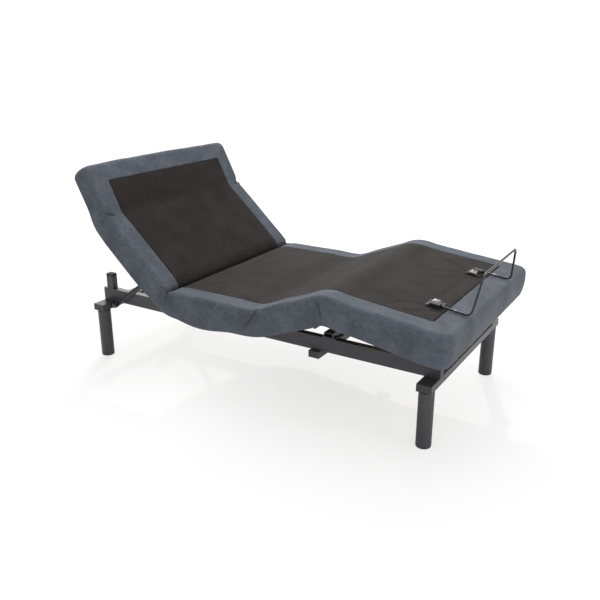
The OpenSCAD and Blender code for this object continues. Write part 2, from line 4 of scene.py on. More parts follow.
import bpy
import numpy as np
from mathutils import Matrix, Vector


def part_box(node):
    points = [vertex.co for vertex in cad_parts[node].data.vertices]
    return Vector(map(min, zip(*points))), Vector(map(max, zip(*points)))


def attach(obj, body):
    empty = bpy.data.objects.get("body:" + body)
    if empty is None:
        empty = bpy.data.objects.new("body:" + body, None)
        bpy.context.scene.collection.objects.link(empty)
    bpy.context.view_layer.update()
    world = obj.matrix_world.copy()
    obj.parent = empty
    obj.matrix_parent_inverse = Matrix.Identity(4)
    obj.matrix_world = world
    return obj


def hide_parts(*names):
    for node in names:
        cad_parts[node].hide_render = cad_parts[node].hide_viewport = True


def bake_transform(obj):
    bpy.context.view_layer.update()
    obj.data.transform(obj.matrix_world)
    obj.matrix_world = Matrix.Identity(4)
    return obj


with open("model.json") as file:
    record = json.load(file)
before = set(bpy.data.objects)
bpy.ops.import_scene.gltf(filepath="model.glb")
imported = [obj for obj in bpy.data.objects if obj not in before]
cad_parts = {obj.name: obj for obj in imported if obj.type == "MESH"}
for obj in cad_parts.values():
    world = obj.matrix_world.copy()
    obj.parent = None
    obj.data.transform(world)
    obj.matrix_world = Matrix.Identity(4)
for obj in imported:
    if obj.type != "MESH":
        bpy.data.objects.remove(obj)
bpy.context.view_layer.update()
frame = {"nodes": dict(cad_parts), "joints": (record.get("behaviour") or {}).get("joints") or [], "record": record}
scene = bpy.context.scene
joints = {j["name"]: j for j in frame["joints"]}
follows = {c["joint"]: c for c in frame["record"]["behaviour"]["couplings"]}
print("frame loaded")

# camera, lights and floor
view = {"place": (-2.6095, -1.6081, 1.4168), "azimuth": -58.58, "elevation": 19.62, "lens": 42.7}
cameraData = bpy.data.cameras.new("camera")
cameraData.lens = view["lens"]
cameraData.sensor_width = 36
camera = bpy.data.objects.new("camera", cameraData)
camera.location = view["place"]
camera.rotation_euler = (math.radians(90 - view["elevation"]), 0, math.radians(view["azimuth"]))
scene.collection.objects.link(camera)
scene.camera = camera


def softbox(name, place, target, size, power, tint=(1, 1, 1)):
    lamp = bpy.data.lights.new(name, "AREA")
    lamp.shape = "RECTANGLE"
    lamp.size, lamp.size_y = size
    lamp.energy = power
    lamp.color = tint
    lampObject = bpy.data.objects.new(name, lamp)
    lampObject.location = place
    aim = np.array(target) - np.array(place)
    flat = math.hypot(aim[0], aim[1])
    lampObject.rotation_euler = (math.atan2(flat, -aim[2]), 0, math.atan2(aim[1], aim[0]) - math.pi / 2)
    scene.collection.objects.link(lampObject)


softbox("topLight", (0.6, 0.2, 3.4), (0, 0, 0.4), (3.4, 3.4), 74)
softbox("backLight", (2.8, 3.0, 2.6), (0, 0, 0.3), (2.2, 1.6), 62)
softbox("fillLight", (-3.6, -3.0, 2.0), (0, 0, 0.4), (3.0, 2.4), 30)
softbox("footLight", (-1.2, -4.4, 1.9), (0, -0.5, 0.4), (2.4, 2.0), 46)

# a faint sun, high behind the head on the right, draws the long soft-edged shadows on the floor
sunDirection = (-0.76, -0.36, -0.46)
sunData = bpy.data.lights.new("sun", "SUN")
sunData.energy = 0.9
sunData.angle = math.radians(1.5)
sun = bpy.data.objects.new("sun", sunData)
sun.rotation_euler = Vector(sunDirection).to_track_quat("-Z", "Y").to_euler()
scene.collection.objects.link(sun)

world = bpy.data.worlds.new("studio")
scene.world = world
world.use_nodes = True
background = world.node_tree.nodes["Background"]
background.inputs["Color"].default_value = (1, 1, 1, 1)
# the sky lights the scene softly, and is plain white where the camera sees it
sight = world.node_tree.nodes.new("ShaderNodeLightPath")
skyLevel = world.node_tree.nodes.new("ShaderNodeMapRange")
skyLevel.inputs["To Min"].default_value = 0.75
skyLevel.inputs["To Max"].default_value = 1.05
world.node_tree.links.new(sight.outputs["Is Camera Ray"], skyLevel.inputs["Value"])
world.node_tree.links.new(skyLevel.outputs["Result"], background.inputs["Strength"])
scene.view_settings.view_transform = "Standard"
print("studio ready")


# materials
def startMaterial(name, roughness, metallic=0.0):
    mat = bpy.data.materials.new(name)
    mat.use_nodes = True
    shader = mat.node_tree.nodes["Principled BSDF"]
    shader.inputs["Roughness"].default_value = roughness
    shader.inputs["Metallic"].default_value = metallic
    return mat, mat.node_tree, shader


def noiseNode(tree, coords, scale, detail=3.0, stretch=(1, 1, 1)):
    mapping = tree.nodes.new("ShaderNodeMapping")
    mapping.inputs["Scale"].default_value = stretch
    tree.links.new(coords, mapping.inputs["Vector"])
    noise = tree.nodes.new("ShaderNodeTexNoise")
    noise.inputs["Scale"].default_value = scale
    noise.inputs["Detail"].default_value = detail
    tree.links.new(mapping.outputs["Vector"], noise.inputs["Vector"])
    return noise.outputs["Fac"]


def rampNode(tree, factor, low, high, lowColor, highColor):
    ramp = tree.nodes.new("ShaderNodeValToRGB")
    ramp.color_ramp.elements[0].position = low
    ramp.color_ramp.elements[1].position = high
    ramp.color_ramp.elements[0].color = (*lowColor, 1)
    ramp.color_ramp.elements[1].color = (*highColor, 1)
    tree.links.new(factor, ramp.inputs["Fac"])
    return ramp.outputs["Color"]


def mixNode(tree, factor, a, b, kind="MIX"):
    mix = tree.nodes.new("ShaderNodeMix")
    mix.data_type = "RGBA"
    mix.blend_type = kind
    if isinstance(factor, float):
        mix.inputs["Factor"].default_value = factor
    else:
        tree.links.new(factor, mix.inputs["Factor"])
    tree.links.new(a, mix.inputs[6])
    tree.links.new(b, mix.inputs[7])
    return mix.outputs[2]


def bumpNode(tree, height, strength, distance, below=None):
    bump = tree.nodes.new("ShaderNodeBump")
    bump.inputs["Strength"].default_value = strength
    bump.inputs["Distance"].default_value = distance
    tree.links.new(height, bump.inputs["Height"])
    if below is not None:
        tree.links.new(below, bump.inputs["Normal"])
    return bump.outputs["Normal"]


def clothMaterial(name, dark, light, thread, sheen, pileStretch):
    # mottled pile over a fine plain weave, both laid out on the cloth's own UV in metres
    mat, tree, shader = startMaterial(name, 0.92)
    uv = tree.nodes.new("ShaderNodeTexCoord").outputs["UV"]
    patches = noiseNode(tree, uv, 9.0, 4.0)
    spots = noiseNode(tree, uv, 55.0, 4.0)
    blotches = rampNode(tree, spots, 0.3, 0.7, (0.86, 0.86, 0.86), (1.14, 1.14, 1.14))
    pile = noiseNode(tree, uv, 260.0, 3.0, pileStretch)
    broad = mixNode(tree, 1.0, rampNode(tree, patches, 0.32, 0.68, dark, light), blotches, "MULTIPLY")
    fine = rampNode(tree, pile, 0.25, 0.75, (0.72, 0.72, 0.72), (1.25, 1.25, 1.25))
    # painted shade: the cloth's colour is darkened towards near black in the hip crease, where the mesh's own
    # "shade" value is high
    shade = tree.nodes.new("ShaderNodeAttribute")
    shade.attribute_name = "shade"
    paintedShade = rampNode(tree, shade.outputs["Fac"], 0.0, 1.0, (1, 1, 1), (0.10, 0.10, 0.10))
    pileColor = mixNode(tree, 0.85, broad, fine, "MULTIPLY")
    tree.links.new(mixNode(tree, 1.0, pileColor, paintedShade, "MULTIPLY"), shader.inputs["Base Color"])
    rough = tree.nodes.new("ShaderNodeMapRange")
    rough.inputs["To Min"].default_value = 0.8
    rough.inputs["To Max"].default_value = 1.0
    tree.links.new(pile, rough.inputs["Value"])
    tree.links.new(rough.outputs["Result"], shader.inputs["Roughness"])
    weave = None
    for axis in ("X", "Y"):
        wave = tree.nodes.new("ShaderNodeTexWave")
        wave.bands_direction = axis
        wave.inputs["Scale"].default_value = 1 / thread / 20
        wave.inputs["Distortion"].default_value = 1.5
        wave.inputs["Detail Scale"].default_value = 3.0
        tree.links.new(uv, wave.inputs["Vector"])
        weave = bumpNode(tree, wave.outputs["Fac"], 0.25, thread * 0.25, weave)
    weave = bumpNode(tree, pile, 0.45, 0.0006, weave)
    weave = bumpNode(tree, noiseNode(tree, uv, 38.0, 2.0), 0.25, 0.0016, weave)
    tree.links.new(weave, shader.inputs["Normal"])
    shader.inputs["Sheen Weight"].default_value = sheen
    shader.inputs["Sheen Roughness"].default_value = 0.55
    shader.inputs["Specular IOR Level"].default_value = 0.15
    return mat


def metalMaterial(name, base, worn, roughness, metallic, grain, bumpHeight):
    # fine orange-peel or brushed grain, with slow changes of tone and a few rubbed patches
    mat, tree, shader = startMaterial(name, roughness, metallic)
    coords = tree.nodes.new("ShaderNodeTexCoord").outputs["Object"]
    slow = noiseNode(tree, coords, 6.0, 4.0)
    fine = noiseNode(tree, coords, 900.0, 2.0, grain)
    rub = noiseNode(tree, coords, 34.0, 6.0)
    tone = rampNode(tree, slow, 0.3, 0.75, base, tuple(c * 1.22 for c in base))
    rubbed = rampNode(tree, rub, 0.66, 0.78, (0, 0, 0), (1, 1, 1))
    wornColor = tree.nodes.new("ShaderNodeRGB")
    wornColor.outputs[0].default_value = (*worn, 1)
    tree.links.new(mixNode(tree, rubbed, tone, wornColor.outputs[0]), shader.inputs["Base Color"])
    rough = tree.nodes.new("ShaderNodeMapRange")
    rough.inputs["To Min"].default_value = roughness * 0.82
    rough.inputs["To Max"].default_value = min(1.0, roughness * 1.2)
    tree.links.new(slow, rough.inputs["Value"])
    tree.links.new(rough.outputs["Result"], shader.inputs["Roughness"])
    tree.links.new(bumpNode(tree, fine, 0.3, bumpHeight), shader.inputs["Normal"])
    return mat


def plasticMaterial(name, base, roughness):
    mat, tree, shader = startMaterial(name, roughness)
    coords = tree.nodes.new("ShaderNodeTexCoord").outputs["Object"]
    grain = noiseNode(tree, coords, 700.0, 2.0)
    slow = noiseNode(tree, coords, 14.0, 3.0)
    tone = rampNode(tree, slow, 0.3, 0.7, base, tuple(c * 1.3 for c in base))
    tree.links.new(tone, shader.inputs["Base Color"])
    tree.links.new(bumpNode(tree, grain, 0.35, 0.0003), shader.inputs["Normal"])
    return mat


def plywoodMaterial():
    mat, tree, shader = startMaterial("birchPly", 0.62)
    coords = tree.nodes.new("ShaderNodeTexCoord").outputs["Object"]
    figure = noiseNode(tree, coords, 5.0, 6.0, (1.0, 9.0, 9.0))
    fibre = noiseNode(tree, coords, 120.0, 4.0, (0.15, 3.0, 3.0))
    broad = rampNode(tree, figure, 0.3, 0.7, (0.40, 0.27, 0.15), (0.55, 0.39, 0.24))
    fine = rampNode(tree, fibre, 0.3, 0.7, (0.85, 0.85, 0.85), (1.08, 1.08, 1.08))
    tree.links.new(mixNode(tree, 1.0, broad, fine, "MULTIPLY"), shader.inputs["Base Color"])
    tree.links.new(bumpNode(tree, fibre, 0.3, 0.0004), shader.inputs["Normal"])
    return mat


slateCloth = clothMaterial(
    "slateCloth", dark=(0.051, 0.059, 0.073), light=(0.082, 0.093, 0.112),
    thread=0.0011, sheen=0.06, pileStretch=(1.0, 0.7, 1.0))
darkFelt = clothMaterial(
    "darkFelt", dark=(0.0133, 0.0106, 0.0100), light=(0.0222, 0.0178, 0.0166),
    thread=0.0009, sheen=0.02, pileStretch=(0.8, 1.0, 1.0))
powderBlack = metalMaterial(
    "powderBlack", base=(0.025, 0.025, 0.029), worn=(0.044, 0.044, 0.048),
    roughness=0.42, metallic=0.0, grain=(1, 1, 1), bumpHeight=0.0004)
wireBlack = metalMaterial(
    "wireBlack", base=(0.020, 0.020, 0.023), worn=(0.12, 0.12, 0.13),
    roughness=0.26, metallic=0.35, grain=(1, 1, 1), bumpHeight=0.0001)
zincSteel = metalMaterial(
    "zincSteel", base=(0.44, 0.45, 0.47), worn=(0.30, 0.30, 0.30),
    roughness=0.38, metallic=1.0, grain=(1, 0.1, 1), bumpHeight=0.0002)
groundSteel = metalMaterial(
    "groundSteel", base=(0.58, 0.59, 0.61), worn=(0.46, 0.46, 0.47),
    roughness=0.2, metallic=1.0, grain=(1, 0.1, 1), bumpHeight=0.0001)
blackPlastic = plasticMaterial("blackPlastic", (0.018, 0.018, 0.019), 0.5)
blackRubber = plasticMaterial("blackRubber", (0.012, 0.012, 0.012), 0.82)
birchPly = plywoodMaterial()
slotMaterials = {
    "powder_black": powderBlack, "zinc_steel": zincSteel, "rod_steel": groundSteel,
    "black_plastic": blackPlastic, "bumper_rubber": blackRubber, "plywood": birchPly,
    "dark_felt": darkFelt, "slate_weave": slateCloth, "retainer_wire": wireBlack,
    "bracket_black": wireBlack,
}
for sub in frame["record"]["subparts"]:
    mesh = frame["nodes"][sub["node"]].data
    mesh.materials.clear()
    mesh.materials.append(slotMaterials[sub["material_slot"]])
print("materials ready")

# The floor is a flat square. "glow" is the share of its own light in what the camera sees of it,
# and that light grows from nearGlow to farGlow between two distances from its middle
floor = {"size": 60.0, "glow": 0.72, "near": 1.3, "far": 3.2, "nearGlow": 0.98, "farGlow": 1.16}


def makeFloor():
    mat, tree, shader = startMaterial("paleFloor", 0.55)
    coords = tree.nodes.new("ShaderNodeTexCoord").outputs["Object"]
    tone = rampNode(tree, noiseNode(tree, coords, 2.0), 0.3, 0.7, (0.86, 0.86, 0.86), (0.88, 0.88, 0.88))
    tree.links.new(tone, shader.inputs["Base Color"])
    # what the camera sees of the floor glows, so that it stays white with only faint shadows
    glow = tree.nodes.new("ShaderNodeEmission")
    distance = tree.nodes.new("ShaderNodeVectorMath")
    distance.operation = "LENGTH"
    tree.links.new(coords, distance.inputs[0])
    level = tree.nodes.new("ShaderNodeMapRange")
    level.inputs["From Min"].default_value = floor["near"]
    level.inputs["From Max"].default_value = floor["far"]
    level.inputs["To Min"].default_value = floor["nearGlow"]
    level.inputs["To Max"].default_value = floor["farGlow"]
    tree.links.new(distance.outputs["Value"], level.inputs["Value"])
    tree.links.new(level.outputs["Result"], glow.inputs["Strength"])
    seen = tree.nodes.new("ShaderNodeLightPath")
    share = tree.nodes.new("ShaderNodeMath")
    share.operation = "MULTIPLY"
    share.inputs[1].default_value = floor["glow"]
    tree.links.new(seen.outputs["Is Camera Ray"], share.inputs[0])
    mixed = tree.nodes.new("ShaderNodeMixShader")
    tree.links.new(share.outputs[0], mixed.inputs[0])
    tree.links.new(shader.outputs[0], mixed.inputs[1])
    tree.links.new(glow.outputs[0], mixed.inputs[2])
    tree.links.new(mixed.outputs[0], tree.nodes["Material Output"].inputs["Surface"])
    half = floor["size"] / 2
    mesh = bpy.data.meshes.new("floor")
    corners = [(-half, -half, 0), (half, -half, 0), (half, half, 0), (-half, half, 0)]
    mesh.from_pydata(corners, [], [(0, 1, 2, 3)])
    mesh.materials.append(mat)
    floorObject = bpy.data.objects.new("floor", mesh)
    scene.collection.objects.link(floorObject)


makeFloor()


# the folded deck
# Deck coordinates, in metres: x across, s along the flat deck from the hip hinge towards the
# head, and n up from the hinge lines. Every point turns round the hinges between it and the seat.
def hingeYz(name):
    return np.array(joints[name]["pos_m"][1:])


backAngle = -math.radians(joints["back_lift"]["range_deg"][0])
pillowAngle = -math.radians(joints["pillow_tilt"]["range_deg"][0])
thighAngle = -math.radians(joints["thigh_lift"]["range_deg"][0])
footAngle = thighAngle * follows["foot_fold"]["ratio"]
hip, pillowLine = hingeYz("back_lift"), hingeYz("pillow_tilt")
seatFront, knee = hingeYz("thigh_lift"), hingeYz("foot_fold")
backLen = np.linalg.norm(pillowLine - hip)
seatLen = hip[0] - seatFront[0]
thighLen = np.linalg.norm(knee - seatFront)

# The deck's section: half its width, its top face and a hair above its boards, both above the
# hinge lines, and the skirt's depth and thickness
deck = {
    "halfWidth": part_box("seat_skirts")[1].x,
    "top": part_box("seat_skirts")[1].z - hip[1],
    "depth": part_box("seat_skirts")[1].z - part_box("seat_skirts")[0].z,
    "boardTop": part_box("seat_board")[1].z - hip[1] + 0.0004,
    "skirt": 0.025,
}

# the pillow panel ends where its sloping top face reaches the top of its skirts' box, and the
# cover's rounded edge adds a little
headSlope = backAngle + pillowAngle
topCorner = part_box("pillow_skirts")[1].z - pillowLine[1] - deck["top"] * math.cos(headSlope)
pillowLen = topCorner / math.sin(headSlope) + 0.006
# from the knee to the outer face of the foot end
footLen = 0.505
sFold = {
    "pillow": backLen, "hip": 0.0, "seatFront": -seatLen, "knee": -seatLen - thighLen,
    "headEnd": backLen + pillowLen, "footEnd": -seatLen - thighLen - footLen,
}
# half the length of cloth that each hinge bends
reach = {"pillow": 0.055, "hip": 0.070, "seatFront": 0.125, "knee": 0.085}


def smooth(t):
    t = np.clip(t, 0, 1)
    return t * t * (3 - 2 * t)


def turn(points, pivot, angle):
    c, s = np.cos(angle), np.sin(angle)
    y, z = points[..., 0] - pivot[0], points[..., 1] - pivot[1]
    return np.stack([pivot[0] + y * c - z * s, pivot[1] + y * s + z * c], -1)


def bent(s, line, way):
    # 0 well before the hinge line and 1 well past it, eased over its reach
    return smooth(way * (s - sFold[line]) / reach[line] / 2 + 0.5)


def foldDeck(x, s, n):
    # flat deck to folded deck: each hinge turns what lies beyond it, smoothly over its reach
    p = np.stack([s + hip[0], n + hip[1]], -1)
    flat = {k: np.array([v + hip[0], hip[1]]) for k, v in sFold.items()}
    p = turn(p, flat["pillow"], pillowAngle * bent(s, "pillow", 1))
    p = turn(p, flat["hip"], backAngle * bent(s, "hip", 1))
    p = turn(p, flat["knee"], footAngle * bent(s, "knee", -1))
    p = turn(p, flat["seatFront"], -thighAngle * bent(s, "seatFront", -1))
    return np.stack([x, p[..., 0], p[..., 1]], -1)


def lattice(u, v, cell, seed):
    # smooth random values: a seeded lattice with one value a cell, eased between its corners
    table = np.random.default_rng(seed).uniform(-1, 1, (64, 64))
    a, b = u / cell, v / cell
    i, j = np.floor(a).astype(int), np.floor(b).astype(int)
    fa, fb = smooth(a - i), smooth(b - j)
    i, j, i2, j2 = i % 64, j % 64, (i + 1) % 64, (j + 1) % 64
    low = table[i, j] * (1 - fa) + table[i2, j] * fa
    high = table[i, j2] * (1 - fa) + table[i2, j2] * fa
    return low * (1 - fb) + high * fb


def groove(u, v, a, b, width, fade):
    # 1 along the segment a-b, falling off over width to its sides and over fade past its ends
    a, b = np.array(a), np.array(b)
    d = b - a
    long = np.linalg.norm(d)
    d = d / long
    along = (u - a[0]) * d[0] + (v - a[1]) * d[1]
    across = -(u - a[0]) * d[1] + (v - a[1]) * d[0]
    past = np.maximum(0, np.maximum(-along, along - long))
    return np.exp(-(across / width) ** 2 - (past / fade) ** 2)


spacing = {"coarse": 0.012, "fine": 0.0045, "beside": 0.08, "crease": (-0.016, 0.022), "inset": 0.00015}


def stations(s0, s1):
    # stations along the deck: one on each hinge line, closer together beside it, and closest in
    # the hip crease
    beside, fine = spacing["beside"], spacing["fine"]
    low, high = spacing["crease"]
    marks = [s0, s1] + [v for v in (low, high) if s0 < v < s1]
    for line in (sFold[k] for k in ("pillow", "hip", "seatFront", "knee")):
        marks += [v for v in (line - beside, line, line + beside) if s0 < v < s1]
    marks = np.unique(np.round(marks, 6))
    runs = []
    for a, b in zip(marks[:-1], marks[1:]):
        near = min(abs((a + b) / 2 - v) for v in sFold.values())
        step = fine if near < beside else spacing["coarse"]
        if a >= low and b <= high:
            step = fine / 2
        count = max(2, int(math.ceil((b - a) / step)))
        runs.append(np.linspace(a, b, count + 1)[:-1])
    run = np.append(np.concatenate(runs), s1)
    # a hair's breadth inside each end, so that the flat end face doesn't shade the cloth beside it
    inset = spacing["inset"]
    return np.concatenate([run[:1], [s0 + inset], run[1:-1], [s1 - inset], run[-1:]])


def tubeMesh(name, points, uv, material, shade=None):
    # points is a grid (rings, loop). Each ring closes on itself, and flat faces close the two ends
    nu, nv = points.shape[:2]
    index = np.arange(nu * nv).reshape(nu, nv)
    after = np.roll(index, -1, 1)
    quads = np.stack([index[:-1], after[:-1], after[1:], index[1:]], -1).reshape(-1, 4)
    corners = points.reshape(-1, 3)[quads]
    a, b, c, d = (corners[:, k] for k in range(4))
    volume = np.einsum("ij,ij->", a, np.cross(b, c)) + np.einsum("ij,ij->", a, np.cross(c, d))
    ends = [index[0, ::-1].tolist(), index[-1].tolist()]
    if volume < 0:
        quads = quads[:, ::-1]
        ends = [e[::-1] for e in ends]
    mesh = bpy.data.meshes.new(name)
    mesh.from_pydata(points.reshape(-1, 3).tolist(), [], quads.tolist() + ends)
    loops = np.zeros(len(mesh.loops), int)
    mesh.loops.foreach_get("vertex_index", loops)
    mesh.uv_layers.new(name="cloth").data.foreach_set("uv", uv.reshape(-1, 2)[loops].ravel())
    # the "shade" attribute holds the painted crease shade that the cloth materials darken their colour by
    if shade is not None:
        mesh.attributes.new("shade", "FLOAT", "POINT").data.foreach_set("value", shade.ravel())
    mesh.materials.append(material)
    mesh.polygons.foreach_set("use_smooth", [True] * len(quads) + [False] * 2)
    obj = bpy.data.objects.new(name, mesh)
    scene.collection.objects.link(obj)
    return obj


# The slate border: one closed section swept along the deck's outline. A section point is
# (distance inwards from the outer face, height). Here are its widths, its edges' radii, its
# corners' radii, and how far the skirt stands out.
border = {
    "side": 0.092, "foot": 0.098, "head": 0.080,
    "edge": 0.018, "hem": 0.008, "seam": 0.0035,
    "footCorner": 0.042, "headCorner": 0.034, "feltCorner": 0.006, "cornerSteps": 16,
    "belly": 0.0025, "headSwell": 0.004, "footSwell": 0.006, "headCrown": 0.006, "footCrown": 0.002,
    "endColumns": 81,
}


def borderSection():
    # straight runs joined by quarter circles: the seam beside the felt, the top, the outer edge,
    # the skirt's face, its hem, and back up the inside to under the top
    edge, hem, seam, wide = border["edge"], border["hem"], border["seam"], border["side"]
    top, low, under = deck["top"], deck["top"] - deck["depth"], deck["boardTop"]
    a = np.linspace(0, math.pi / 2, 10)
    seamArc = np.stack([wide - seam + seam * np.cos(a[::3]), top - seam + seam * np.sin(a[::3])], -1)
    across = np.linspace(wide - seam, edge, 15)[1:-1]
    topRun = np.stack([across, np.full_like(across, top)], -1)
    edgeArc = np.stack([edge - edge * np.sin(a), top - edge + edge * np.cos(a)], -1)
    down = np.linspace(top - edge, low + hem, 17)[1:-1]
    side = np.stack([np.zeros_like(down), down], -1)
    hemArc = np.stack([hem - hem * np.cos(a[::2]), low + hem - hem * np.sin(a[::2])], -1)
    rest = [(deck["skirt"] - 0.003, low), (deck["skirt"], low + 0.004)]
    rest += [(deck["skirt"], z) for z in np.linspace(low + 0.03, under, 4)]
    rest += [(o, under) for o in np.linspace(0.05, wide, 3)]
    return np.concatenate([seamArc, topRun, edgeArc, side, hemArc, np.array(rest)])


section = borderSection()
sectionRun = np.append(0, np.cumsum(np.linalg.norm(np.diff(section, axis=0), axis=1)))
# a section point on the outer face, whose path gives the end borders their length
facePoint = 30


# Creases in the foot's felt, pulled by the two bracket plates: ends as (x, distance from the
# knee), depth, width
pulls = [
    ((0.201, -0.323), (0.300, -0.154), 0.0032, 0.0085),
    ((0.121, -0.341), (-0.137, -0.338), 0.0026, 0.0100),
    ((-0.256, -0.327), (-0.313, -0.228), 0.0024, 0.0080),
    ((-0.209, -0.320), (-0.094, -0.191), 0.0026, 0.0085),
    ((-0.298, -0.368), (-0.365, -0.293), 0.0022, 0.0075),
    ((-0.204, -0.392), (-0.111, -0.402), 0.0020, 0.0080),
    ((0.270, -0.345), (0.320, -0.388), 0.0020, 0.0080),
    ((-0.194, -0.322), (-0.030, -0.239), 0.0022, 0.0090),
    ((0.180, -0.318), (0.120, -0.200), 0.0018, 0.0090),
]

# Tucks in the border's top, the same on both sides: the hinge, ends as (distance from the middle
# line, distance from the hinge), depth, width, fade. A ridge has a negative depth.
topTucks = [
    ("pillow", (0.482, 0.014), (0.448, -0.008), 0.0150, 0.0055, 0.008),
    ("pillow", (0.478, -0.008), (0.448, -0.026), -0.0045, 0.0080, 0.008),
    ("hip", (0.482, 0.012), (0.452, -0.002), 0.0130, 0.0060, 0.008),
    ("hip", (0.478, 0.036), (0.452, 0.020), -0.0045, 0.0080, 0.008),
]
crease = {"depth": 0.0225, "seatSide": 0.0055, "backSide": 0.0110, "valley": 0.0012, "valleyWidth": 0.016}


def topRelief(x, s):
    # slow waves, a sharp crease at the hip that falls off exponentially to both sides and fades
    # near the outer faces, a soft valley before the thigh, then the tucks and the pulled creases
    h = 0.0011 * lattice(x + 3, s + 3, 0.17, 4) + 0.0005 * lattice(x + 3, s + 3, 0.06, 5)
    fromHip = s - sFold["hip"]
    inside = smooth((deck["halfWidth"] - np.abs(x) - 0.012) / 0.035)
    seatSide, backSide = np.exp(fromHip / crease["seatSide"]), np.exp(-fromHip / crease["backSide"])
    h -= crease["depth"] * np.where(fromHip < 0, seatSide, backSide) * inside
    h -= crease["valley"] * np.exp(-((s - sFold["seatFront"]) / crease["valleyWidth"]) ** 2)
    for line, a, b, depth, width, fade in topTucks:
        h -= depth * groove(np.abs(x), s - sFold[line], a, b, width, fade)
    fromKnee = s - sFold["knee"]
    for a, b, depth, width in pulls:
        beside = width * 1.7
        valley = groove(x, fromKnee, a, b, width, width * 2)
        ridge = groove(x, fromKnee, (a[0], a[1] + beside), (b[0], b[1] + beside), width, width * 2)
        h += depth * (0.7 * ridge - valley)
    return h


def creaseShade(x, s, n):
    # how strongly the cloth's colour is darkened as painted shade: 1 in the hip crease, fading over the back
    # panel's first centimetres and at the outer faces
    fromHip = s - sFold["hip"]
    fade = np.where(fromHip < 0, np.exp(-((fromHip / 0.006) ** 2)), np.exp(-((fromHip / 0.024) ** 2)))
    inside = smooth((deck["halfWidth"] - np.abs(x) - 0.015) / 0.05)
    onTop = smooth((n - deck["top"] + 0.01) / 0.008)
    return fade * onTop * (0.25 + 0.75 * inside)


# Rises of the hem, each a bell curve: the hinge, distance from it, width, height
hemRises = [
    ("hip", 0.02, 0.075, 0.017),
    ("hip", -0.19, 0.12, -0.020),
    ("seatFront", 0.0, 0.10, 0.004),
]
# Pinches in the side skirts: the hinge, ends as (distance from the hinge, height), depth, width,
# fade. A ridge has a negative depth.
sidePinches = [
    ("seatFront", (-0.022, 0.036), (0.030, -0.020), 0.0105, 0.0048, 0.014),
    ("hip", (0.004, 0.046), (-0.006, 0.010), 0.0110, 0.0062, 0.010),
    ("hip", (0.026, 0.024), (0.034, -0.016), 0.0060, 0.0070, 0.014),
    ("hip", (-0.026, 0.022), (-0.040, -0.010), 0.0050, 0.0070, 0.014),
    ("knee", (0.004, 0.012), (-0.002, -0.032), 0.0085, 0.0042, 0.010),
    ("knee", (-0.008, 0.008), (-0.014, -0.034), -0.0030, 0.0060, 0.010),
    ("pillow", (0.002, 0.046), (-0.008, 0.004), 0.0080, 0.0058, 0.014),
    ("pillow", (0.018, 0.040), (0.034, 0.004), 0.0045, 0.0070, 0.014),
]


def hemLift(s, n):
    # nothing at the top and all of it at the hem: the rises, a shallower skirt at the pillow, and
    # a deeper one towards the foot
    share = np.clip((deck["top"] - n) / deck["depth"], 0, 1) ** 1.5
    lift = 0.020 * smooth((s - sFold["pillow"] + 0.09) / 0.18)
    lift = lift - 0.014 * smooth((sFold["knee"] - 0.12 - s) / 0.32)
    for line, offset, width, height in hemRises:
        lift = lift + height * np.exp(-((s - sFold[line] - offset) / width) ** 2)
    return share * lift


def sideTucks(s, n):
    return sum(depth * groove(s - sFold[line], n, a, b, width, fade)
               for line, a, b, depth, width, fade in sidePinches)


def sideBulge(path, n, swell):
    # how far the skirt stands out: a low belly between edge and hem, with slow unevenness
    belly = np.sin(np.clip((deck["top"] - n) / deck["depth"], 0, 1) * math.pi)
    broad, fine = lattice(path + 5, n + 5, 0.12, 11), lattice(path + 5, n + 5, 0.045, 12)
    return swell * belly + 0.0013 * broad + 0.0007 * fine


def placeBorder(x, s, o, n, outX, outS, path, swell, crown=0.0):
    # the skirt's outer skin moves out along (outX, outS), its top and its hem move up or down, and
    # the whole is folded
    skin = smooth((deck["skirt"] * 0.7 - o) / 0.010) * smooth((n - deck["top"] + deck["depth"]) / 0.012)
    onTop = smooth((n - deck["top"] + border["edge"]) / border["edge"]) * (n > deck["boardTop"] + 0.003)
    push = skin * (sideBulge(path, n, swell) + crown - sideTucks(s, n) * np.abs(outX))
    height = n + topRelief(x, s) * onTop + hemLift(s, n)
    return foldDeck(x + outX * push, s + outS * push, height)


def sideBorder(s0, s1, side):
    # the section swept straight along one side of the deck
    s = stations(s0, s1)[:, None]
    o, n = section[None, :, 0], section[None, :, 1]
    x = side * (deck["halfWidth"] - o) + 0 * s
    s = s + 0 * o
    points = placeBorder(x, s, o + 0 * s, n + 0 * s, side + 0 * s, 0 * s, s + side, border["belly"])
    uv = np.stack([s, sectionRun[None, :] + 0 * s + (1.5 + side)], -1)
    return points, uv, creaseShade(x, s, n)


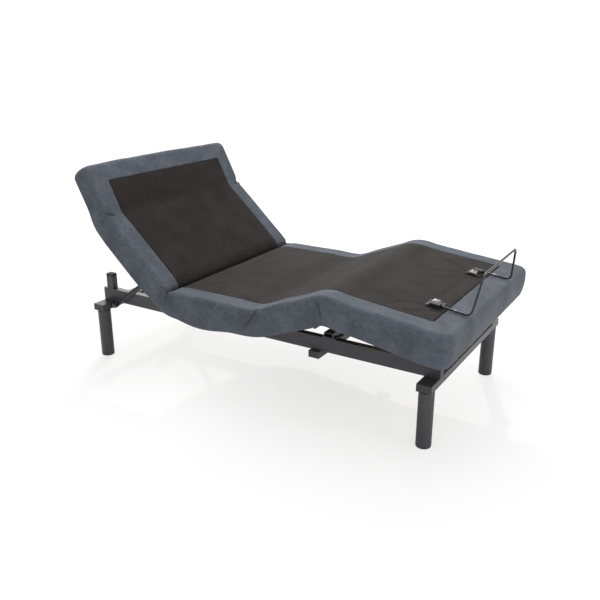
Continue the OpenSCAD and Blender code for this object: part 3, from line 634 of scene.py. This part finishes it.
def endBorder(cut, end, wide, corner, swell, crownHere):
    # the outline at each depth is a rounded rectangle whose corner radius shrinks inwards to the
    # felt's corner: down one side, round the corner, across the end, and back. The end bows
    # outwards as a parabola.
    d = 1 if end > cut else -1
    half, skirt = deck["halfWidth"], deck["skirt"]
    o, n = section[None, :, 0], section[None, :, 1]
    past = np.clip((o - skirt) / (border["side"] - skirt), 0, 1)
    radius = corner - np.minimum(o, corner - border["feltCorner"])
    halfHere, endHere = half - o, end - d * (o + past * (wide - border["side"]))
    sideRun = stations(min(cut, end - d * corner), max(cut, end - d * corner))
    sideRun = (sideRun if d > 0 else sideRun[::-1])[:, None]
    full = end - d * corner - cut
    sideS = cut + (sideRun - cut) * (endHere - d * radius - cut) / full
    arc = np.linspace(0, math.pi / 2, border["cornerSteps"])[1:-1, None]
    cosA, sinA = np.cos(arc), np.sin(arc)
    across = np.linspace(-1, 1, border["endColumns"])[:, None]
    one = np.ones_like(sideRun)
    x = [-halfHere * one, -halfHere + radius * (1 - cosA), across * (halfHere - radius)]
    s = [sideS, endHere - d * radius * (1 - sinA), endHere + 0 * across]
    outX = [-one + 0 * o, -cosA + 0 * o, 0 * across + 0 * o]
    outS = [0 * one + 0 * o, d * sinA + 0 * o, d + 0 * across + 0 * o]
    x = np.concatenate(x + [-x[1][::-1], -x[0][::-1]])
    s = np.concatenate(s + [s[1][::-1], s[0][::-1]])
    outX = np.concatenate(outX + [-outX[1][::-1], -outX[0][::-1]])
    outS = np.concatenate(outS + [outS[1][::-1], outS[0][::-1]])
    edgeStep = np.hypot(np.diff(x[:, facePoint]), np.diff(s[:, facePoint]))
    path = np.append(0, np.cumsum(edgeStep))[:, None] + 0 * o
    crown = crownHere * np.abs(outS) * (1 - (x / half) ** 2)
    bulge = border["belly"] + swell * np.abs(outS)
    points = placeBorder(x, s, o + 0 * x, n + 0 * x, outX, outS, path, bulge, crown)
    return points, np.stack([path, sectionRun[None, :] + 0 * path], -1), creaseShade(x, s, n)


# The felt tops: closed slabs over the boards, inside the border
felt = {"edge": 0.003, "gap": 0.0006, "sink": 0.0008, "columns": 97, "lowColumns": 9}


def feltSlab(s0, s1, closed):
    # a bar with a flat bottom and two upper edges of a quarter circle, swept along the deck. At a
    # closed end its top comes down over the same quarter circle.
    half = deck["halfWidth"] - border["side"] - felt["gap"]
    top, under, r = deck["top"] - felt["sink"], deck["boardTop"], felt["edge"]
    a = np.linspace(0, math.pi / 2, 4)
    flat = np.linspace(-half + r, half - r, felt["columns"])[1:-1]
    low = np.linspace(half, -half, felt["lowColumns"])
    x = np.concatenate([-half + r - r * np.cos(a), flat, half - r + r * np.sin(a), low])[None, :]
    leftEdge, rightEdge = top - r + r * np.sin(a), top - r + r * np.cos(a)
    n = np.concatenate([leftEdge, np.full_like(flat, top), rightEdge, np.full_like(low, under)])[None, :]
    s = stations(s0, s1)[:, None] + 0 * x
    drop = 0 * s
    for end in closed:
        near = 1 - np.clip(np.abs(s - end) / r, 0, 1)
        drop = np.maximum(drop, r * (1 - np.sqrt(1 - near ** 2)))
    onTop = smooth((n - under) / 0.012)
    points = foldDeck(x + 0 * s, s, n + (topRelief(x, s) - drop) * onTop)
    return points, np.stack([x + 0 * s, s], -1), creaseShade(x, s, n)


# the cover is cut across the middle of three panels, so that each piece bends over one hinge line
cuts = {"back": 0.5 * backLen, "seat": -0.5 * seatLen, "thigh": -seatLen - 0.5 * thighLen}


def addCover(name, shape, material, nodes):
    points, uv, shade = shape
    piece = tubeMesh(name, points, uv, material, shade)
    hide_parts(*nodes)
    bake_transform(piece)


sides = ((-1, "Left"), (1, "Right"))
headShape = endBorder(
    cuts["back"], sFold["headEnd"], border["head"], border["headCorner"], border["headSwell"],
    border["headCrown"])
footShape = endBorder(
    cuts["thigh"], sFold["footEnd"], border["foot"], border["footCorner"], border["footSwell"],
    border["footCrown"])
addCover("headBorder", headShape, slateCloth, ["pillow_skirts"])
addCover("footBorder", footShape, slateCloth, ["foot_skirts", "thigh_skirts"])
for side, word in sides:
    hipShape = sideBorder(cuts["seat"], cuts["back"], side)
    addCover("hipBorder" + word, hipShape, slateCloth, ["back_skirts"])
    seatShape = sideBorder(cuts["thigh"], cuts["seat"], side)
    addCover("seatBorder" + word, seatShape, slateCloth, ["seat_skirts"])
print("border ready")

feltHead = sFold["headEnd"] - border["head"] - felt["gap"]
feltFoot = sFold["footEnd"] + border["foot"] + felt["gap"]
pillowShape = feltSlab(cuts["back"], feltHead, [feltHead])
addCover("pillowFelt", pillowShape, darkFelt, ["pillow_pad"])
addCover("hipFelt", feltSlab(cuts["seat"], cuts["back"], []), darkFelt, ["back_pad"])
seatShape = feltSlab(cuts["thigh"], cuts["seat"], [])
addCover("seatFelt", seatShape, darkFelt, ["seat_pad", "thigh_pad"])
footShape = feltSlab(feltFoot, cuts["thigh"], [feltFoot])
addCover("footFelt", footShape, darkFelt, ["foot_pad"])
print("felt ready")

# The retainer: a round rod bent into an arch, in the foot panel's own (x, along, up) from the knee
retainer = {
    "rod": 0.0045, "bend": 0.024, "bendSteps": 14, "sides": 20, "crownSteps": 25, "shift": -0.016,
    "corners": [(-0.243, -0.345, 0.0525), (-0.251, -0.499, 0.0495), (-0.200, -0.502, 0.198)],
}


def roundedPath(corners, radius, steps):
    # straight runs joined by arcs of the given radius
    out = [corners[0]]
    for a, b, c in zip(corners[:-2], corners[1:-1], corners[2:]):
        u, v = (a - b) / np.linalg.norm(a - b), (c - b) / np.linalg.norm(c - b)
        half = math.acos(u @ v) / 2
        middle = b + (u + v) / np.linalg.norm(u + v) * radius / math.sin(half)
        p, q = b + u * radius / math.tan(half) - middle, b + v * radius / math.tan(half) - middle
        swing = math.pi - 2 * half
        w = q - p * math.cos(swing)
        w = w / np.linalg.norm(w) * radius
        angles = np.linspace(0, swing, steps)
        out += [middle + p * math.cos(t) + w * math.sin(t) for t in angles]
    out.append(corners[-1])
    return np.array(out)


def sweptRod(path, radius, sides):
    # circles square to the path, carried along it without twist
    tangent = np.gradient(path, axis=0)
    tangent /= np.linalg.norm(tangent, axis=1)[:, None]
    normal = np.zeros_like(path)
    normal[0] = np.cross(tangent[0], [0.1, 0.2, 0.97])
    for i in range(1, len(path)):
        normal[i] = normal[i - 1] - tangent[i] * (normal[i - 1] @ tangent[i])
    normal /= np.linalg.norm(normal, axis=1)[:, None]
    other = np.cross(tangent, normal)
    a = np.linspace(0, 2 * math.pi, sides, endpoint=False)[None, :, None]
    rings = path[:, None] + radius * (np.cos(a) * normal[:, None] + np.sin(a) * other[:, None])
    run = np.append(0, np.cumsum(np.linalg.norm(np.diff(path, axis=0), axis=1)))
    u = run[:, None] + 0 * a[:, :, 0]
    return rings, np.stack([u, a[:, :, 0] * radius + 0 * u], -1)


footSlope = footAngle - thighAngle


def onFoot(p):
    # from the foot panel's own (x, along, up) to the folded deck
    p = np.array(p)
    yz = turn(p[:, 1:] + knee, knee, footSlope)
    return np.column_stack([p[:, 0] + retainer["shift"], yz])


corners = retainer["corners"]
arch = onFoot(corners + [(-x, y, z) for x, y, z in corners[::-1]])
arch = roundedPath(arch, retainer["bend"], retainer["bendSteps"])
# the long straight run across gets rings of its own
share = np.linspace(0, 1, retainer["crownSteps"])[1:-1, None]
middle = len(arch) // 2
crossRun = arch[middle - 1] * (1 - share) + arch[middle] * share
arch = np.concatenate([arch[:middle], crossRun, arch[middle:]])
rod = tubeMesh("retainerRod", *sweptRod(arch, retainer["rod"], retainer["sides"]), wireBlack)
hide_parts("retainer_bar")
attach(rod, "foot")

# A pressed steel clip over each bracket plate: a low dome whose section is a flattened ellipse,
# with a shallow channel along it for the rod
clip = {
    "long": 0.034, "wide": 0.040, "high": 0.011, "place": (0.216, -0.352, 0.0470),
    "channel": 0.003, "channelX": 0.006, "channelWide": 0.005,
}
clipSteel = metalMaterial(
    "clipSteel", base=(0.20, 0.19, 0.185), worn=(0.42, 0.40, 0.38),
    roughness=0.27, metallic=0.9, grain=(1, 0.2, 1), bumpHeight=0.0002)


def clipShape(side):
    u = np.linspace(-1, 1, 21)[:, None]
    a = np.linspace(0, 2 * math.pi, 36, endpoint=False)[None, :]
    taper = (1 - np.clip(np.abs(u), 0, 0.985) ** 6) ** 0.5
    across = np.sign(np.cos(a)) * np.abs(np.cos(a)) ** 0.5 * clip["wide"] / 2 * (0.75 + 0.25 * taper)
    rise = np.clip(np.sin(a), 0, 1) ** 0.6 * clip["high"] * taper
    channel = np.exp(-((across - clip["channelX"]) / clip["channelWide"]) ** 2)
    rise = rise - clip["channel"] * channel * (rise > clip["channel"])
    x, y, z = clip["place"]
    local = np.stack([side * x + across + 0 * u, y + u * clip["long"] / 2 + 0 * a, z + rise], -1)
    place = onFoot(local.reshape(-1, 3)).reshape(local.shape)
    return place, np.stack([u + 0 * a, a + 0 * u], -1) * 0.02


for side, word in sides:
    clipPiece = tubeMesh("retainerClip" + word, *clipShape(side), clipSteel)
    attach(clipPiece, "foot")
print("retainer ready")
